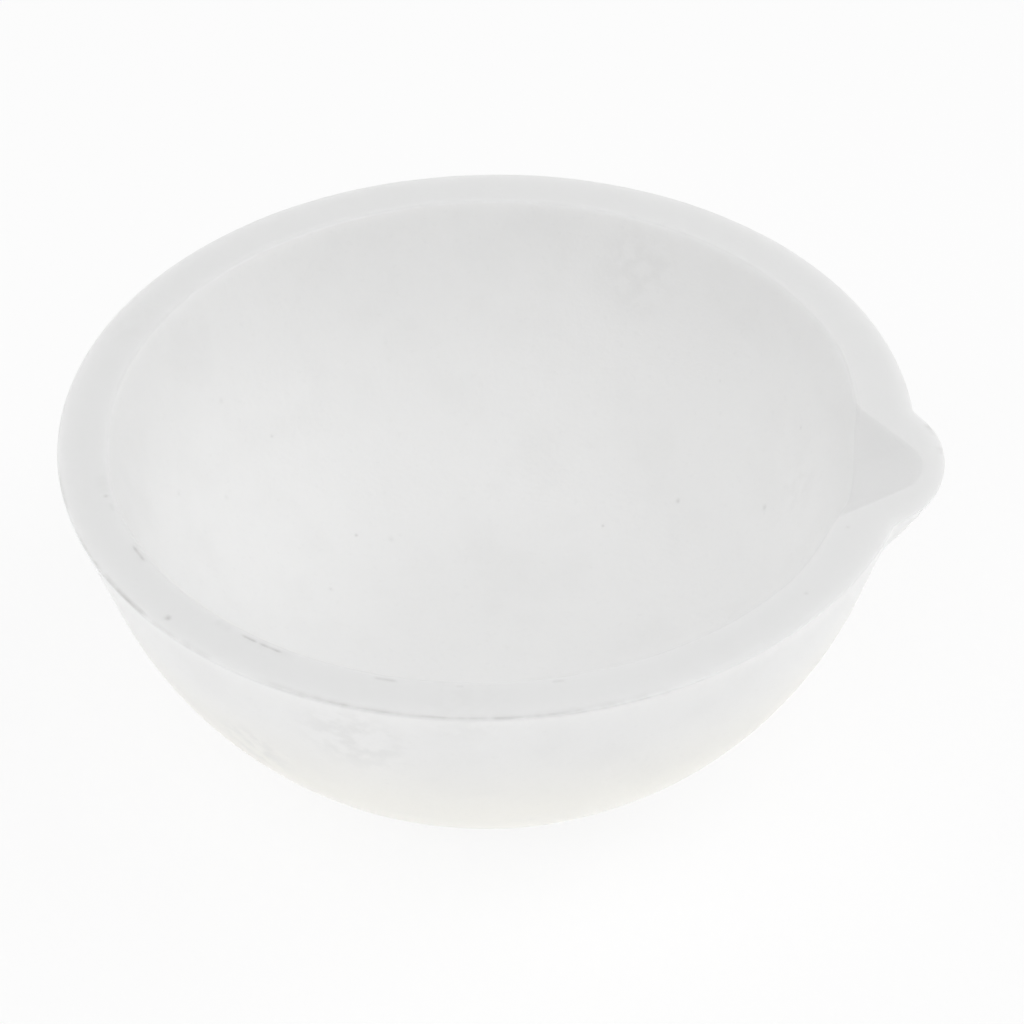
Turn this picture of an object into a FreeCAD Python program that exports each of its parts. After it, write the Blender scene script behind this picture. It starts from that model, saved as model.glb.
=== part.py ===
import FreeCAD, Part
import math
import os

# Pouring crucible for melting small charges of metal: one thick-walled bowl of slip-cast
# fused silica, with a flat foot, a flat ground rim and a short beak to pour over.
# Millimetres, +Z up, +X towards the beak. The origin is the middle of the foot's underside.

# Outside of the bowl
rim_radius = 37.5  # outer edge of the flat rim
height = 32.0  # foot to rim
foot_radius = 15.3  # where the round belly meets the level of the foot
wall_draft = 16.5  # degrees between the straight upper wall and the vertical
foot_round = 2.0

# Hollow
rim_land = 4.4  # width of the flat rim, from its outer edge to the wall of the hollow
floor_thickness = 4.6  # under the middle of the hollow
floor_dishing = 60.0  # radius of the shallow floor
floor_blend = 12.0  # radius between the floor and the side of the hollow

# Beak: a rounded half-oval in plan, whose keel runs back into the wall below
beak_reach = 2.65  # how far it stands out past the rim
beak_depth = 5.4  # along X, from the middle of its oval to its tip
beak_half_width = 8.0
beak_drop = 10.5  # depth at which its keel meets the wall
keel_half_width = 4.0  # of its oval at that depth
keel_curve = 1.4  # 1 is a straight keel, more is a fuller one
beak_root_round = 1.0

# Pouring groove: a trough of one V section with a rounded bottom, sloping out to the beak
groove_tip_land = 1.8  # flat left between the groove and the beak's tip
groove_tip_round = 4.0  # radius of the groove's end, seen from above
groove_flank = 42.0  # degrees between its edges and the X axis, seen from above
groove_fall = 26.5  # degrees that its bottom slopes down towards the hollow

# Edges of the ground rim: the outer one is left crisp
mouth_break = 0.45  # bevel broken with a stone round the edge of the hollow
groove_round = 0.45  # edges of the groove

touching = 0.001  # how near counts as the same place


def point(x, z, y=0.0):
    """A place by its reach along X and its height, on the middle plane unless Y is given."""
    return FreeCAD.Vector(x, y, z)


def revolved(edges):
    """Turn a closed profile in the XZ plane once round the Z axis, with its seam at the back."""
    upwards = FreeCAD.Vector(0, 0, 1)
    solid = Part.Face(Part.Wire(edges)).revolve(point(0, 0), upwards, 360)
    solid.rotate(point(0, 0), upwards, 180)
    return solid


draft = math.radians(wall_draft)


def belly_sphere():
    """Radius and centre height of the sphere that the straight wall touches, ending at the foot."""
    slant = rim_radius * math.cos(draft) - height * math.sin(draft)
    root = math.hypot(slant * math.sin(draft), math.cos(draft) * math.sqrt(slant ** 2 - foot_radius ** 2))
    centre_z = (slant * math.sin(draft) + root) / math.cos(draft) ** 2
    return slant + centre_z * math.sin(draft), centre_z


belly_radius, belly_z = belly_sphere()
wall_thickness = rim_land * math.cos(draft)
side_radius = belly_radius - wall_thickness  # of the hollow, about the belly's centre


def on_sphere(radius, centre_z, angle):
    """The place on a sphere about the axis, at an angle below its own level."""
    return point(radius * math.cos(angle), centre_z - radius * math.sin(angle))


def wall_radius(depth):
    """Outer radius of the bowl at a depth below the rim."""
    below_centre = belly_z - (height - depth)
    if below_centre <= belly_radius * math.sin(draft):
        return rim_radius - depth * math.tan(draft)
    return math.sqrt(belly_radius ** 2 - below_centre ** 2)


def bowl_outside():
    """The bowl's outer form, solid right through: flat foot, round belly, straight wall."""
    foot_edge = point(foot_radius, 0)
    foot_angle = math.atan2(belly_z, foot_radius)
    middle = on_sphere(belly_radius, belly_z, (foot_angle + draft) / 2)
    wall_foot = on_sphere(belly_radius, belly_z, draft)
    rim_edge = point(rim_radius, height)
    profile = [
        Part.LineSegment(point(0, 0), foot_edge).toShape(),
        Part.Arc(foot_edge, middle, wall_foot).toShape(),
        Part.LineSegment(wall_foot, rim_edge).toShape(),
        Part.LineSegment(rim_edge, point(0, height)).toShape(),
        Part.LineSegment(point(0, height), point(0, 0)).toShape(),
    ]
    return revolved(profile)


def blend_centre(floor_z):
    """Centre of the arc that touches both the hollow's side and its floor from inside."""
    to_side = side_radius - floor_blend
    to_floor = floor_dishing - floor_blend
    apart = floor_z - belly_z
    below = (to_floor ** 2 - to_side ** 2 - apart ** 2) / (2 * apart)
    return point(math.sqrt(to_side ** 2 - below ** 2), belly_z - below)


def hollow():
    """The space inside: a bevelled, straight mouth, a side in step with the wall, a dished floor."""
    floor_z = floor_thickness + floor_dishing
    blend = blend_centre(floor_z)
    side_angle = math.atan2(belly_z - blend.z, blend.x)
    floor_angle = math.atan2(floor_z - blend.z, blend.x)
    blend_angle = (side_angle + floor_angle) / 2
    blend_middle = blend + on_sphere(floor_blend, 0, blend_angle)
    middle = point(0, floor_thickness)
    floor_middle = on_sphere(floor_dishing, floor_z, (floor_angle + math.pi / 2) / 2)
    floor_edge = on_sphere(floor_dishing, floor_z, floor_angle)
    side_foot = on_sphere(side_radius, belly_z, side_angle)
    side_middle = on_sphere(side_radius, belly_z, (side_angle + draft) / 2)
    side_top = on_sphere(side_radius, belly_z, draft)
    mouth_radius = rim_radius - rim_land
    break_foot = point(mouth_radius - mouth_break * math.tan(draft), height - mouth_break)
    above = rim_land  # clear height over the rim
    mouth = point(break_foot.x + mouth_break + above, height + above)
    profile = [
        Part.Arc(middle, floor_middle, floor_edge).toShape(),
        Part.Arc(floor_edge, blend_middle, side_foot).toShape(),
        Part.Arc(side_foot, side_middle, side_top).toShape(),
        Part.LineSegment(side_top, break_foot).toShape(),
        Part.LineSegment(break_foot, mouth).toShape(),
        Part.LineSegment(mouth, point(0, mouth.z)).toShape(),
        Part.LineSegment(point(0, mouth.z), middle).toShape(),
    ]
    return revolved(profile)


def beak_section(depth):
    """Oval across the beak at a depth below the rim, with its seam on the hollow's side."""
    share = depth / beak_drop
    reach = beak_reach * (1 - share ** keel_curve)
    half_width = beak_half_width + (keel_half_width - beak_half_width) * share
    placing = FreeCAD.Matrix()
    placing.scale(-beak_depth, -half_width, 1)
    placing.move(wall_radius(depth) + reach - beak_depth, 0, height - depth)
    return Part.Wire([Part.makeCircle(1).transformGeometry(placing)])


def beak():
    """The beak's outside, from the rim down to where its keel has sunk into the wall."""
    shares = [0.0, 0.3, 0.6, 0.9, 1.2]
    return Part.makeLoft([beak_section(beak_drop * share) for share in shares], True)


def groove():
    """Trough that cuts the hollow's wall, the rim and most of the beak."""
    flank = math.radians(groove_flank)
    tip = point(rim_radius + beak_reach - groove_tip_land, height)
    end_x = tip.x - groove_tip_round * (1 - math.sin(flank))
    end_y = groove_tip_round * math.cos(flank)
    run = rim_land + beak_reach + beak_half_width  # out into the open hollow
    wide_y = end_y + run * math.tan(flank)
    corners = [
        point(end_x - run, height, -wide_y),
        point(end_x, height, -end_y),
        point(end_x, height, end_y),
        point(end_x - run, height, wide_y),
    ]
    outline = Part.Wire([
        Part.LineSegment(corners[0], corners[1]).toShape(),
        Part.Arc(corners[1], tip, corners[2]).toShape(),
        Part.LineSegment(corners[2], corners[3]).toShape(),
        Part.LineSegment(corners[3], corners[0]).toShape(),
    ])
    fall = math.radians(groove_fall)
    return Part.Face(outline).extrude(FreeCAD.Vector(-run, 0, -run * math.tan(fall)))


def is_level(edge, level):
    """Whether an edge lies all in the horizontal plane at a level."""
    return abs(edge.BoundBox.ZMin - level) < touching and abs(edge.BoundBox.ZMax - level) < touching


def is_on(edge, shape):
    """Whether the middle of an edge lies on the skin of a shape."""
    middle = Part.Vertex(edge.valueAt((edge.FirstParameter + edge.LastParameter) / 2))
    return shape.Shells[0].distToShape(middle)[0] < touching


def cast_outside():
    """The bowl and its beak as one solid body, blended together, with the foot's edge rounded."""
    bowl = bowl_outside()
    lip = beak()
    body = bowl.fuse(lip).removeSplitter()
    roots = [
        edge for edge in body.Edges
        if is_on(edge, bowl) and is_on(edge, lip) and not is_level(edge, height)
    ]
    body = body.makeFillet(beak_root_round, roots)
    return body.makeFillet(foot_round, [edge for edge in body.Edges if is_level(edge, 0)])


def crucible_dish():
    """The whole crucible: the hollow and the groove cut out, and the groove's edges rounded."""
    inside = hollow()
    trough = groove()
    body = cast_outside().cut(inside).cut(trough)
    edges = [
        edge for edge in body.Edges
        if is_on(edge, trough) and (is_level(edge, height) or is_on(edge, inside))
    ]
    return body.makeFillet(groove_round, edges)


os.makedirs("parts", exist_ok=True)
dish = crucible_dish()
dish.exportStep("parts/crucible_dish.step")
print("crucible_dish", round(dish.Volume), "cubic mm, valid", dish.isValid())
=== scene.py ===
import math

import bmesh
import bpy
from mathutils import Matrix, Vector, noise


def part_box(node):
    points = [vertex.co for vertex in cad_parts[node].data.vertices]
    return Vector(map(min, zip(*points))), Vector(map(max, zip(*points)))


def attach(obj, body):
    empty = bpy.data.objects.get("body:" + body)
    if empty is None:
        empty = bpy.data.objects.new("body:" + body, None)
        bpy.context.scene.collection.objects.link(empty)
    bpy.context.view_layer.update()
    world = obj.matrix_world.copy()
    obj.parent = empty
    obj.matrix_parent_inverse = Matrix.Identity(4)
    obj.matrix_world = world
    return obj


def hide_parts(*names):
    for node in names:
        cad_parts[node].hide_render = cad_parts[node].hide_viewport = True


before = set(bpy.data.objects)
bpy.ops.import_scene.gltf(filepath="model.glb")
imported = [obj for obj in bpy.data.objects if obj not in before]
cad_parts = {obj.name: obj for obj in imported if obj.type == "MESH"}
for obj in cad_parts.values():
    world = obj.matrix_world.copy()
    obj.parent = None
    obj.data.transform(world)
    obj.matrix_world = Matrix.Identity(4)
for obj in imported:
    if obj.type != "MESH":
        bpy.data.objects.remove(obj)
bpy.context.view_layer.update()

# ---------------------------------------------------------------------------------------------
# Dish: one thick-walled bowl with a beak, slip cast in fused silica and fired. Its rim is
# ground flat afterwards, which leaves the outer edge crisp and slightly chipped. It stands
# free on its own flat foot.

mm = 0.001  # the dish is shaped in millimetres, and scaled to metres at the end

low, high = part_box("crucible_dish")
height = high.z / mm
rim_radius = high.y / mm
beak_reach = high.x / mm - rim_radius

# Outside
wall_draft = math.radians(16.5)
foot_radius = 15.3
foot_round = 2.0
edge_round = 0.14  # outer edge of the rim

# Hollow
rim_land = 4.4
mouth_round = 0.4
floor_thickness = 4.6
floor_dishing = 60.0
floor_blend = 12.0

# Beak
beak_depth = 5.4
beak_half_width = 8.0
beak_drop = 10.5
keel_half_width = 4.0
keel_curve = 1.4
beak_root_round = 0.9

# Pouring groove
groove_tip_x = rim_radius + beak_reach - 1.8
groove_tip_round = 4.0
groove_flank = math.radians(42)
groove_fall = math.tan(math.radians(26.5))
groove_edge_round = 0.12
groove_end_x = groove_tip_x - groove_tip_round * (1 - math.sin(groove_flank))
groove_end_y = groove_tip_round * math.cos(groove_flank)
groove_run_down = 9.0  # how far down the hollow's wall the groove still pulls it
mouth_pull = 0.55  # how far the mouth comes in on both sides of the groove
pull_rises = (1, 11)  # degrees from the beak over which it comes in
pull_fades = (14, 32)  # degrees over which it goes back
pull_run_down = 9.0  # how far down the hollow's wall it is still felt

# Belly and side of the hollow are spheres about one centre on the axis, touching the walls
slope = math.tan(wall_draft)
slant = rim_radius * math.cos(wall_draft) - height * math.sin(wall_draft)
sideways = math.cos(wall_draft) * math.sqrt(slant ** 2 - foot_radius ** 2)
belly_level = (
    slant * math.sin(wall_draft) + math.hypot(slant * math.sin(wall_draft), sideways)
) / math.cos(wall_draft) ** 2
belly_radius = slant + belly_level * math.sin(wall_draft)
side_radius = belly_radius - rim_land * math.cos(wall_draft)
mouth_radius = rim_radius - rim_land


def arc(reach, level, radius, first, last, parts):
    """Places along an arc in the section, after its first one; angles in radians."""
    angles = [first + (last - first) * part / parts for part in range(1, parts + 1)]
    return [
        (reach + radius * math.cos(angle), level + radius * math.sin(angle)) for angle in angles
    ]


def run(start, end, parts, ease=1.0):
    """Places along a straight run, after its first; an ease over 1 crowds them at the start."""
    reach, level = start
    out, up = end[0] - reach, end[1] - level
    shares = [(part / parts) ** ease for part in range(1, parts + 1)]
    return [(reach + out * share, level + up * share) for share in shares]


def inner_section():
    """The hollow, from the middle of its floor up to the top of its straight wall."""
    floor_level = floor_thickness + floor_dishing
    apart = floor_level - belly_level
    to_floor = floor_dishing - floor_blend
    to_side = side_radius - floor_blend
    below = (to_floor ** 2 - to_side ** 2 - apart ** 2) / (2 * apart)
    blend_reach = math.sqrt(to_side ** 2 - below ** 2)
    blend_level = belly_level - below
    floor_angle = math.atan2(blend_level - floor_level, blend_reach)
    side_angle = math.atan2(blend_level - belly_level, blend_reach)
    places = [(0.0, floor_thickness)]
    places += arc(0, floor_level, floor_dishing, -math.pi / 2, floor_angle, 12)
    places += arc(blend_reach, blend_level, floor_blend, floor_angle, side_angle, 9)
    places += arc(0, belly_level, side_radius, side_angle, -wall_draft, 13)
    near_mouth = 3.0  # depth from which the places lie closer together
    places += run(places[-1], (mouth_radius - near_mouth * slope, height - near_mouth), 7)
    return places + run(places[-1], (mouth_radius - mouth_round * slope, height - mouth_round), 7)


def outer_section():
    """The outside, from the crisp edge of the rim down to the middle of the foot."""
    edge_reach = rim_radius - edge_round * (slope + 1 / math.cos(wall_draft))
    places = [(edge_reach, height)]
    places += arc(edge_reach, height - edge_round, edge_round, math.pi / 2, -wall_draft, 6)
    near_rim = 1.5  # depth down to which the places lie closer together
    places += run(places[-1], (rim_radius - near_rim * slope, height - near_rim), 6, 1.2)
    band = height - belly_level + belly_radius * math.sin(wall_draft)
    places += run(places[-1], (rim_radius - band * slope, height - band), 12)
    foot_reach = math.sqrt((belly_radius - foot_round) ** 2 - (belly_level - foot_round) ** 2)
    foot_angle = math.atan2(foot_round - belly_level, foot_reach)
    places += arc(0, belly_level, belly_radius, -wall_draft, foot_angle, 26)
    places += arc(foot_reach, foot_round, foot_round, foot_angle, -math.pi / 2, 5)
    return places + run(places[-1], (0.0, 0.0), 5)


# The section is drawn once as a chain of edges. The layers hold how far across the rim each place
# lies, 0 in the hollow and 1 on the outside, how dark it is painted, by soot and by painted shade,
# and how much of it has the grey ground look, which also paints shade on the land and its outer
# round and light on the mouth round
blank = bmesh.new()
across = blank.verts.layers.float.new("across")
grime_and_shade = blank.verts.layers.float.new("grime_and_shade")
ground_and_shade = blank.verts.layers.float.new("ground_and_shade")
hollow_places = inner_section()
outside_places = outer_section()
mouth_reach = mouth_radius + mouth_round * (1 / math.cos(wall_draft) - slope)
mouth_places = arc(
    mouth_reach, height - mouth_round, mouth_round, math.pi - wall_draft, math.pi / 2, 6
)
land_places = run(mouth_places[-1], outside_places[0], 18, 1.4)[:-1]
land_width = outside_places[0][0] - mouth_reach
chain = []
for reach, level in hollow_places + mouth_places + land_places + outside_places:
    corner = blank.verts.new((reach, 0, level))
    corner[across] = min(max((reach - mouth_reach) / land_width, 0), 1) if level == height else 0
    chain.append(corner)
for corner in chain[-len(outside_places):]:
    corner[across] = 1
for upper, lower in zip(chain, chain[1:]):
    blank.edges.new((upper, lower))

# It is turned round the axis in three stretches: the beak finely, the far side, the near side
beak_side = 18  # degrees either side of the beak
stretches = [(2 * beak_side, 96), (170, 140), (154, 240)]
to_beak = Matrix.Rotation(math.radians(-beak_side), 3, "Z")
bmesh.ops.rotate(blank, verts=blank.verts, matrix=to_beak)
turning = list(blank.verts) + list(blank.edges)
for degrees, steps in stretches:
    turned = bmesh.ops.spin(
        blank, geom=turning, cent=(0, 0, 0), axis=(0, 0, 1),
        angle=math.radians(degrees), steps=steps,
    )
    turning = turned["geom_last"]
bmesh.ops.remove_doubles(blank, verts=blank.verts, dist=0.0005)
bmesh.ops.recalc_face_normals(blank, faces=blank.faces)


def polar(place):
    """Azimuth in degrees, from the beak, and reach from the axis."""
    return math.degrees(math.atan2(place.y, place.x)), math.hypot(place.x, place.y)


def refine(wanted):
    """Cut every edge whose middle is wanted."""
    edges = [edge for edge in blank.edges if wanted((edge.verts[0].co + edge.verts[1].co) / 2)]
    bmesh.ops.subdivide_edges(blank, edges=edges, cuts=1, use_grid_fill=True)


def at_groove(place):
    azimuth, reach = polar(place)
    return abs(azimuth) < 15 and reach > mouth_radius - 1.5 and place.z > height - 1.2


def at_near_edges(place):
    azimuth, reach = polar(place)
    outer = reach > rim_radius - 0.8 and place.z > height - 0.6
    return -161 < azimuth < -50 and (outer or mouth_reach - 0.3 < reach < mouth_reach + 0.9)


refine(at_groove)
refine(at_near_edges)


def wall_radius(depth):
    """Outer radius of the bowl at a depth under the rim."""
    under_centre = belly_level - (height - depth)
    if under_centre < belly_radius * math.sin(wall_draft):
        return rim_radius - depth * slope
    return math.sqrt(max(belly_radius ** 2 - under_centre ** 2, 0))


def beak_lead(azimuth, depth):
    """How far the beak stands out past the wall along a ray, blended into it at the root."""
    share = depth / beak_drop
    if abs(azimuth) > math.radians(beak_side) or share > 1.4:
        return 0.0
    half_width = beak_half_width + (keel_half_width - beak_half_width) * share
    wall = wall_radius(depth)
    middle = wall + beak_reach * (1 - share ** keel_curve) - beak_depth
    along = (math.cos(azimuth) / beak_depth) ** 2 + (math.sin(azimuth) / half_width) ** 2
    towards = middle * math.cos(azimuth) / beak_depth ** 2
    root = towards ** 2 - along * ((middle / beak_depth) ** 2 - 1)
    if root < 0:
        return 0.0
    oval = (towards + math.sqrt(root)) / along
    nearness = max(beak_root_round - abs(oval - wall), 0) / beak_root_round
    return max(oval - wall, 0) + nearness ** 2 * beak_root_round / 4


def groove_sink(x, y):
    """How far the groove's bottom lies under the rim at a place, with its edge rounded."""
    aside = abs(y)
    if aside < groove_end_y:
        edge = groove_tip_x - groove_tip_round + math.sqrt(groove_tip_round ** 2 - y ** 2)
    else:
        edge = groove_end_x - (aside - groove_end_y) / math.tan(groove_flank)
    sink = (edge - x) * groove_fall
    if sink > groove_edge_round:
        return sink
    return max(sink + groove_edge_round, 0) ** 2 / (4 * groove_edge_round)


def ease(value, first, last):
    """0 before the first value, 1 past the last, and smooth between."""
    share = min(max((value - first) / (last - first), 0), 1)
    return share * share * (3 - 2 * share)


def mouth_inset(azimuth):
    """How far the mouth was pulled in beside the groove, where the beak was pressed out."""
    aside = abs(math.degrees(azimuth))
    return mouth_pull * (1 - ease(aside, *pull_fades)) * ease(aside, *pull_rises)


def draw_beak(corner):
    """Move one corner of the plain round bowl out onto the beak or down into the groove."""
    azimuth = math.atan2(corner.co.y, corner.co.x)
    inset = mouth_inset(azimuth)
    if corner[across] < 1:
        fade = 1 - ease(height - corner.co.z, 0, pull_run_down)
        corner.co.xy -= corner.co.xy.normalized() * inset * (1 - corner[across]) * fade
    if abs(azimuth) > math.radians(beak_side):
        return
    reach = math.hypot(corner.co.x, corner.co.y)
    depth = height - corner.co.z
    toward = Vector((math.cos(azimuth), math.sin(azimuth)))
    cut = 0.0
    for _ in range(4):
        lip = toward * (mouth_reach - inset - cut * slope)
        cut = groove_sink(lip.x, lip.y)
    if corner[across] > 0:
        reach += corner[across] * beak_lead(azimuth, depth) - (1 - corner[across]) * cut * slope
        spot = toward * reach
        sunk = groove_sink(spot.x, spot.y) if depth < 0.01 else 0
        corner.co = (spot.x, spot.y, corner.co.z - sunk)
        return
    stay = min(max((depth - mouth_round) / (groove_run_down - mouth_round), 0), 1)
    fade = 1 - stay
    lip = toward * (max(reach, mouth_radius - mouth_round * slope - inset) - cut * slope)
    sunk = groove_sink(lip.x, lip.y) * fade
    spot = toward * (reach - cut * slope * fade)
    corner.co = (spot.x, spot.y, corner.co.z - sunk)


# The ground look is also painted: shade over the outer edge's round, where it catches light, and
# light on the mouth round, where it lies in shade
for corner in blank.verts:
    ground_and_shade_depth = 0.5 if corner[across] == 1 else 0.25  # where the grey ground look ends; it also paints shade over the outer round and light on the mouth round
    corner[ground_and_shade] = 1 - ease(height - corner.co.z, 0.05, ground_and_shade_depth)
    draw_beak(corner)

# The cast skin isn't quite true: long shallow waves, which the ground rim doesn't have
wave_depth = 0.05
blank.normal_update()
for corner in blank.verts:
    is_flat = 0 < corner[across] < 1 or corner.co.z < 0.1
    if not is_flat:
        wave = noise.noise(corner.co / 14) + 0.4 * noise.noise(corner.co / 5)
        corner.co -= corner.normal * abs(wave) * wave_depth

# Both edges of the ground rim are rubbed and chipped. Each stretch has its ends in degrees from
# the beak, how badly it is worn, and the width of the wear
# The wear is also painted dark: soot in the chips and, along the outer edge, painted shade under
# the edge and over its lit round
outer_wear = [
    (-160, -151, 0.55, 0.14), (-147.5, -137, 0.75, 0.13), (-138, -127, 1.30, 0.19),
    (-127, -121, 0.45, 0.13), (-121, -115, 0.35, 0.25), (-110, -82, 0.50, 0.30),
    (-108, -62, 0.95, 0.12), (-88, -54, 0.40, 0.36), (3, 4.6, 0.5, 0.2), (6.6, 9.2, 0.8, 0.2),
]
mouth_wear = [
    (-158, -153.3, 0.16, 0.60), (-151, -149, 0.30, 0.16), (-141, -136.5, 0.90, 0.13),
    (-141.5, -136, 0.16, 0.40), (-120, -117, 0.16, 0.40), (-115.4, -112.2, 1.10, 0.12),
    (-112.4, -108.2, 1.10, 0.13), (-116, -106, 0.16, 0.45), (-94.8, -91, 0.60, 0.14),
    (-83, -82, 0.40, 0.12), (-70, -68, 0.40, 0.14),
]
mouth_wear_line = mouth_reach + 0.32
wear_depth = 0.07
wear_darkness = 0.42  # how dark the worst wear is painted: soot, and along the outer edge painted shade


def wear_at(azimuth, from_line, stretches):
    """How worn a place near an edge is: a broken line along the edge, fading away from it."""
    worst = 0.0
    for first, last, most, width in stretches:
        if first < azimuth < last and from_line < 3 * width:
            along = min(6 * (azimuth - first) * (last - azimuth) / (last - first) ** 2, 1)
            worst = max(worst, most * along * math.exp(-(from_line / width) ** 2))
    coarse = noise.noise(Vector((azimuth / 2.6, 3.1, 0)))
    fine = noise.noise(Vector((azimuth, 7.7, 0)))
    return worst * min(max(0.85 + 0.6 * coarse + 0.5 * fine, 0), 1.3)


for corner in blank.verts:
    azimuth, reach = polar(corner.co)
    if corner.co.z < height - 2 or reach < mouth_radius - 1:
        continue
    from_outer = (height - corner.co.z) + (1 - corner[across]) * land_width
    worn = wear_at(azimuth, from_outer, outer_wear) if corner[across] > 0 else 0
    if corner[across] < 1:
        from_mouth = math.hypot(reach - mouth_wear_line, height - corner.co.z)
        worn = max(worn, wear_at(azimuth, from_mouth, mouth_wear))
    if worn > 0.01:
        rough = 0.6 + 0.4 * noise.noise(corner.co * 1.5)
        corner.co -= corner.normal * worn * rough * wear_depth
        # The wear's painted darkness: soot, and painted shade along the outer edge
        corner[grime_and_shade] = worn * wear_darkness

# Pin holes left by bubbles in the slip, some broad and faint, some small and dark: degrees from
# the beak, reach from the axis, size, and how dark
pin_holes = [
    (150, 27.4, 0.15, 0.5), (146, 18.1, 0.15, 0.8), (64, 17.9, 0.13, 0.9), (49, 22.9, 0.19, 0.75),
    (53, 29.2, 0.12, 0.3), (28, 26.2, 0.24, 0.65), (158, 29.8, 0.25, 0.25), (180, 29.1, 0.20, 0.3),
    (169, 26.3, 0.23, 0.25), (137, 16.1, 0.26, 0.3), (169, 17, 0.16, 0.4), (30, 30.1, 0.15, 0.45),
    (-152.9, 33.9, 0.18, 0.7), (-125.2, 36.2, 0.26, 1.0), (-30.5, 35.1, 0.16, 0.45),
    (-15, 33.9, 0.16, 0.45),
]
hole_depth = 0.07
# How dark the middle of a pin hole is painted
hole_darkness = 0.4
hole_reach = 0.6  # how far from its middle a pin hole can still be felt


def from_above(corner):
    """Whether a corner lies in the hollow or on the rim, facing up."""
    return corner[across] < 1 and corner.normal.z > 0


for azimuth, reach, size, dark in pin_holes:
    mark = Matrix.Rotation(math.radians(azimuth), 2) @ Vector((reach, 0))
    close = [
        corner for corner in blank.verts
        if (corner.co.xy - mark).length < 2 and from_above(corner)
    ]
    spot = min(close, key=lambda corner: (corner.co.xy - mark).length).co.copy()
    for longest in (0.6, 0.25, 0.12):
        near = {corner for corner in blank.verts if (corner.co - spot).length < 0.45 + longest}
        edges = [
            edge for edge in blank.edges
            if (edge.verts[0] in near or edge.verts[1] in near) and edge.calc_length() > longest
        ]
        bmesh.ops.subdivide_edges(blank, edges=edges, cuts=1, use_grid_fill=True)
    blank.normal_update()
    for corner in blank.verts:
        away = (corner.co - spot).length
        if away < hole_reach:
            sunk = math.exp(-(away / size) ** 2)
            corner.co -= corner.normal * sunk * dark * hole_depth
            # The middle of each hole is painted darker
            corner[grime_and_shade] = max(corner[grime_and_shade], sunk * dark * hole_darkness)

bmesh.ops.scale(blank, vec=(mm, mm, mm), verts=blank.verts)
dish_mesh = bpy.data.meshes.new("dish")
blank.to_mesh(dish_mesh)
blank.free()
dish_mesh.shade_smooth()
dish = bpy.data.objects.new("dish", dish_mesh)
bpy.context.collection.objects.link(dish)


class Amount:
    """A number that varies over a surface; sums with it add Math nodes to its finish."""

    def __init__(self, finish, socket):
        self.finish = finish
        self.socket = socket

    def math(self, operation, first, second):
        made = self.finish.node("ShaderNodeMath", {"operation": operation}, {0: first, 1: second})
        return Amount(self.finish, made.outputs[0])

    def __add__(self, other):
        return self.math("ADD", self, other)

    def __rsub__(self, other):
        return self.math("SUBTRACT", other, self)

    def __mul__(self, other):
        return self.math("MULTIPLY", self, other)

    def highest(self, other):
        return self.math("MAXIMUM", self, other)

    __radd__ = __add__
    __rmul__ = __mul__


class Finish:
    """The nodes of a material or of the world, all of them added by one method."""

    def __init__(self, owner):
        owner.use_nodes = True
        self.tree = owner.node_tree
        self.tree.nodes.clear()

    def node(self, kind, settings, sockets):
        made = self.tree.nodes.new(kind)
        for name, value in settings.items():
            setattr(made, name, value)
        for name, value in sockets.items():
            if isinstance(value, Amount):
                value = value.socket
            if isinstance(value, bpy.types.NodeSocket):
                self.tree.links.new(value, made.inputs[name])
            else:
                made.inputs[name].default_value = value
        return made

    def places(self):
        """Where each point of the surface lies, in the object's own metres."""
        return self.node("ShaderNodeTexCoord", {}, {}).outputs["Object"]

    def grain(self, size, detail):
        """Noise whose lumps are about a size in metres."""
        sockets = {"Vector": self.places(), "Scale": 1 / size, "Detail": detail}
        return Amount(self, self.node("ShaderNodeTexNoise", {}, sockets).outputs["Fac"])

    def rise(self, value, first, last):
        """0 under the first value and 1 over the last, smoothly."""
        sockets = {"Value": value, "From Min": first, "From Max": last}
        made = self.node("ShaderNodeMapRange", {"interpolation_type": "SMOOTHSTEP"}, sockets)
        return Amount(self, made.outputs["Result"])

    def layer(self, name):
        """One of the mesh's own layers of values."""
        read = self.node("ShaderNodeAttribute", {"attribute_name": name}, {})
        return Amount(self, read.outputs["Fac"])

    def near(self, place, size):
        """1 at a place in metres, and 0 a size away from it."""
        sockets = {0: self.places(), 1: place}
        away = self.node("ShaderNodeVectorMath", {"operation": "DISTANCE"}, sockets)
        return 1 - self.rise(away.outputs["Value"], size * 0.25, size)

    def mixed(self, mask, first, second):
        """One colour over another, by a mask."""
        made = self.node("ShaderNodeMix", {"data_type": "RGBA"}, {0: mask, 6: first, 7: second})
        return made.outputs[2]

    def seen(self):
        """1 where the eye looks, straight or by a mirror or glass, and 0 for the light itself."""
        rays = self.node("ShaderNodeLightPath", {}, {})
        camera, glossy, through = (
            Amount(self, rays.outputs[name])
            for name in ("Is Camera Ray", "Is Glossy Ray", "Is Transmission Ray")
        )
        return camera.highest(glossy).highest(through)


silica_material = bpy.data.materials.new("fused_silica")
silica = Finish(silica_material)
silica_white = (0.86, 0.86, 0.857, 1)
# Grey of the ground rim, also used as painted shade that keeps the land darker than the hollow
silica_ground_and_shade = (0.775, 0.776, 0.774, 1)
silica_dull = (0.74, 0.74, 0.735, 1)
silica_warm = (0.87, 0.86, 0.82, 1)
# Soot in the wear, also used for painted shade along the outer edge and for the dark pin holes
soot_and_shade = (0.30, 0.29, 0.28, 1)

axes = silica.node("ShaderNodeSeparateXYZ", {}, {0: silica.places()})
z = Amount(silica, axes.outputs["Z"])
on_land = silica.rise(z, (height - 0.08) * mm, (height - 0.03) * mm)
cloud = silica.grain(7 * mm, 3)
speckle = silica.grain(0.55 * mm, 2)
grit = silica.grain(0.3 * mm, 1)

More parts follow.
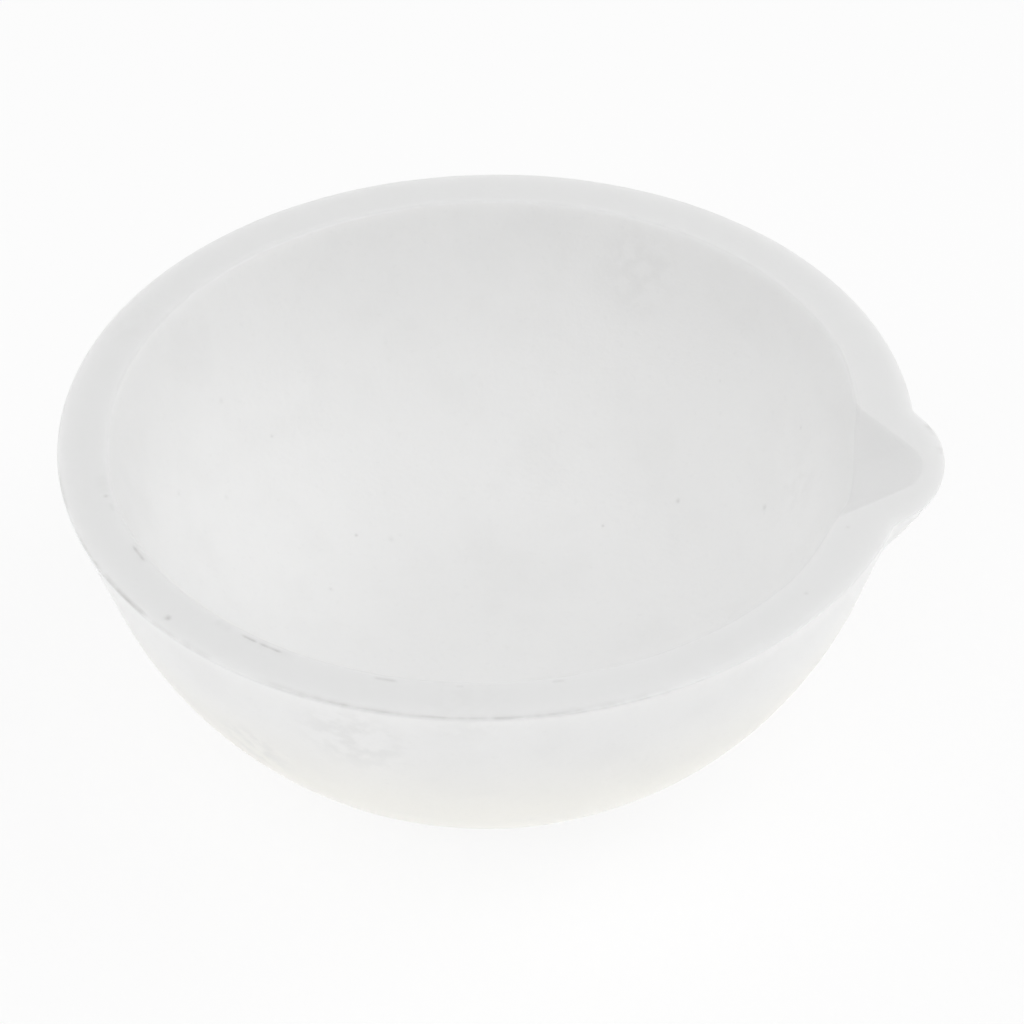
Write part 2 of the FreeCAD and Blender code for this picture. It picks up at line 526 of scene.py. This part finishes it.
# Dull marks: rubbed places on the rim, stains in the hollow, patches on the belly. Each has its
# place, its size and its strength
dull = 0.14 * silica.rise(cloud, 0.45, 0.75) + 0.14 * silica.rise(speckle, 0.58, 0.8)
for place, size, strength in (
    ((5, -34, 32), 5.0, 0.40),
    ((-34.6, 8, 32), 4.0, 0.35),
    ((9, 31, 27), 6.0, 0.22),
    ((-4, -35, 27), 6.5, 0.45),
    ((-14, -30, 19), 5.0, 0.40),
    ((27, 11, 19), 4.0, 0.22),
):
    at = tuple(value * mm for value in place)
    mottle = silica.rise(silica.grain(1.6 * mm, 3), 0.38, 0.62)
    dull = dull + strength * silica.near(at, size * mm) * mottle

# The skin is a little warmer low on the belly, greyer where it is ground, which is also painted
# shade, and darker in the wear, by soot and by painted shade along the outer edge, and in the pin
# holes
underside = silica.layer("across") * (1 - silica.rise(z, 14 * mm, 28 * mm))
body_colour = silica.mixed(underside, silica_white, silica_warm)
# The ground look: a real grey, and painted shade on the land and outer round, painted light on the
# mouth round
body_colour = silica.mixed(silica.layer("ground_and_shade"), body_colour, silica_ground_and_shade)
body_colour = silica.mixed(dull, body_colour, silica_dull)
# Darker where worn and in the pin holes: soot, and painted shade along the outer edge
body_colour = silica.mixed(silica.layer("grime_and_shade") * 0.8, body_colour, soot_and_shade)

relief = 0.6 * grit + 0.8 * speckle + 0.5 * silica.grain(2.5 * mm, 3)
skin = silica.node("ShaderNodeBump", {}, {
    "Strength": 0.18,
    "Distance": 0.12 * mm,
    "Height": relief * (1 - 0.5 * on_land),
})
shader = silica.node("ShaderNodeBsdfPrincipled", {}, {
    "Base Color": body_colour,
    "Roughness": 0.72 + 0.12 * speckle,
    "Specular IOR Level": 0.35,
    "Subsurface Weight": 0.6,
    "Subsurface Radius": (1, 1, 1),
    "Subsurface Scale": 1.5 * mm,
    "Normal": skin.outputs[0],
})
silica.node("ShaderNodeOutputMaterial", {}, {"Surface": shader.outputs[0]})
dish_mesh.materials.append(silica_material)

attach(dish, "root")
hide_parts("crucible_dish")

# ---------------------------------------------------------------------------------------------
# Floor: a wide sheet of matt white background paper, lying flat under the dish.

paper_width = 3.0
sheet = bmesh.new()
bmesh.ops.create_grid(sheet, x_segments=1, y_segments=1, size=paper_width / 2)
paper_mesh = bpy.data.meshes.new("paper")
sheet.to_mesh(paper_mesh)
sheet.free()
paper = bpy.data.objects.new("paper", paper_mesh)
bpy.context.collection.objects.link(paper)
paper_material = bpy.data.materials.new("white_paper")
white_paper = Finish(paper_material)
matt = white_paper.node("ShaderNodeBsdfDiffuse", {}, {"Color": (0.9, 0.9, 0.9, 1)})
bright = white_paper.node("ShaderNodeEmission", {}, {"Color": (1, 1, 1, 1), "Strength": 1.0})
shown = white_paper.node("ShaderNodeMixShader", {}, {
    0: white_paper.seen() * 0.85,
    1: matt.outputs[0],
    2: bright.outputs[0],
})
white_paper.node("ShaderNodeOutputMaterial", {}, {"Surface": shown.outputs[0]})
paper_mesh.materials.append(paper_material)

# ---------------------------------------------------------------------------------------------
# Light: a ring of soft boxes round the dish, the strongest two high in front and over the beak,
# inside a white tent, with a light pad below.

tent = bpy.data.worlds.new("tent")
cloth = Finish(tent)
lit = cloth.node("ShaderNodeBackground", {}, {"Color": (1, 1, 1, 1), "Strength": 0.28})
white = cloth.node("ShaderNodeBackground", {}, {"Color": (1, 1, 1, 1), "Strength": 1.0})
hung = cloth.node("ShaderNodeMixShader", {}, {
    0: cloth.seen(),
    1: lit.outputs[0],
    2: white.outputs[0],
})
cloth.node("ShaderNodeOutputWorld", {}, {"Surface": hung.outputs[0]})
bpy.context.scene.world = tent

box_distance = 0.8
box_width = 0.45


def soft_box(name, azimuth, elevation, power):
    """A square lamp facing the dish, at an azimuth from the beak and an elevation in degrees."""
    lamp = bpy.data.lights.new(name, "AREA")
    lamp.size = box_width
    lamp.energy = power
    holder = bpy.data.objects.new(name, lamp)
    turn, lift = math.radians(azimuth), math.radians(elevation)
    level = math.cos(lift)
    out = Vector((level * math.cos(turn), level * math.sin(turn), math.sin(lift)))
    holder.location = out * box_distance
    holder.rotation_euler = out.to_track_quat("Z", "Y").to_euler()
    bpy.context.collection.objects.link(holder)


for name, azimuth, elevation, power in (
    ("beak_top_box", 0, 60, 1.30),
    ("front_top_box", 270, 60, 1.60),
    ("beak_front_box", -30, 30, 0.57),
    ("beak_back_box", 30, 30, 1.02),
    ("back_box", 90, 30, 0.50),
    ("left_back_box", 150, 30, 0.92),
    ("left_front_box", 210, 30, 1.12),
):
    soft_box(name, azimuth, elevation, power)

# The light pad lies on the paper, under the dish and all round it, and is too thin to be seen
pad_lamp = bpy.data.lights.new("light_pad", "AREA")
pad_lamp.size = 0.6
pad_lamp.energy = 0.31
pad = bpy.data.objects.new("light_pad", pad_lamp)
pad.location = (0, 0, 0.0003)
pad.rotation_euler = (math.pi, 0, 0)
pad.visible_camera = False
bpy.context.collection.objects.link(pad)

# ---------------------------------------------------------------------------------------------
# Camera: a long lens, looking down into the hollow with the beak to the right.

camera = bpy.data.cameras.new("camera")
camera.lens = 119.6
camera.sensor_width = 36
stand = bpy.data.objects.new("camera", camera)
stand.location = (0.04807, -0.22615, 0.22027)
aim = Vector((0.00208, 0.00042, 0.02138))
lean = math.radians(-1.10)
looking = (aim - stand.location).to_track_quat("-Z", "Y").to_matrix()
stand.rotation_euler = (looking @ Matrix.Rotation(lean, 3, "Z")).to_euler()
bpy.context.collection.objects.link(stand)
bpy.context.scene.camera = stand
bpy.context.scene.view_settings.view_transform = "Standard"
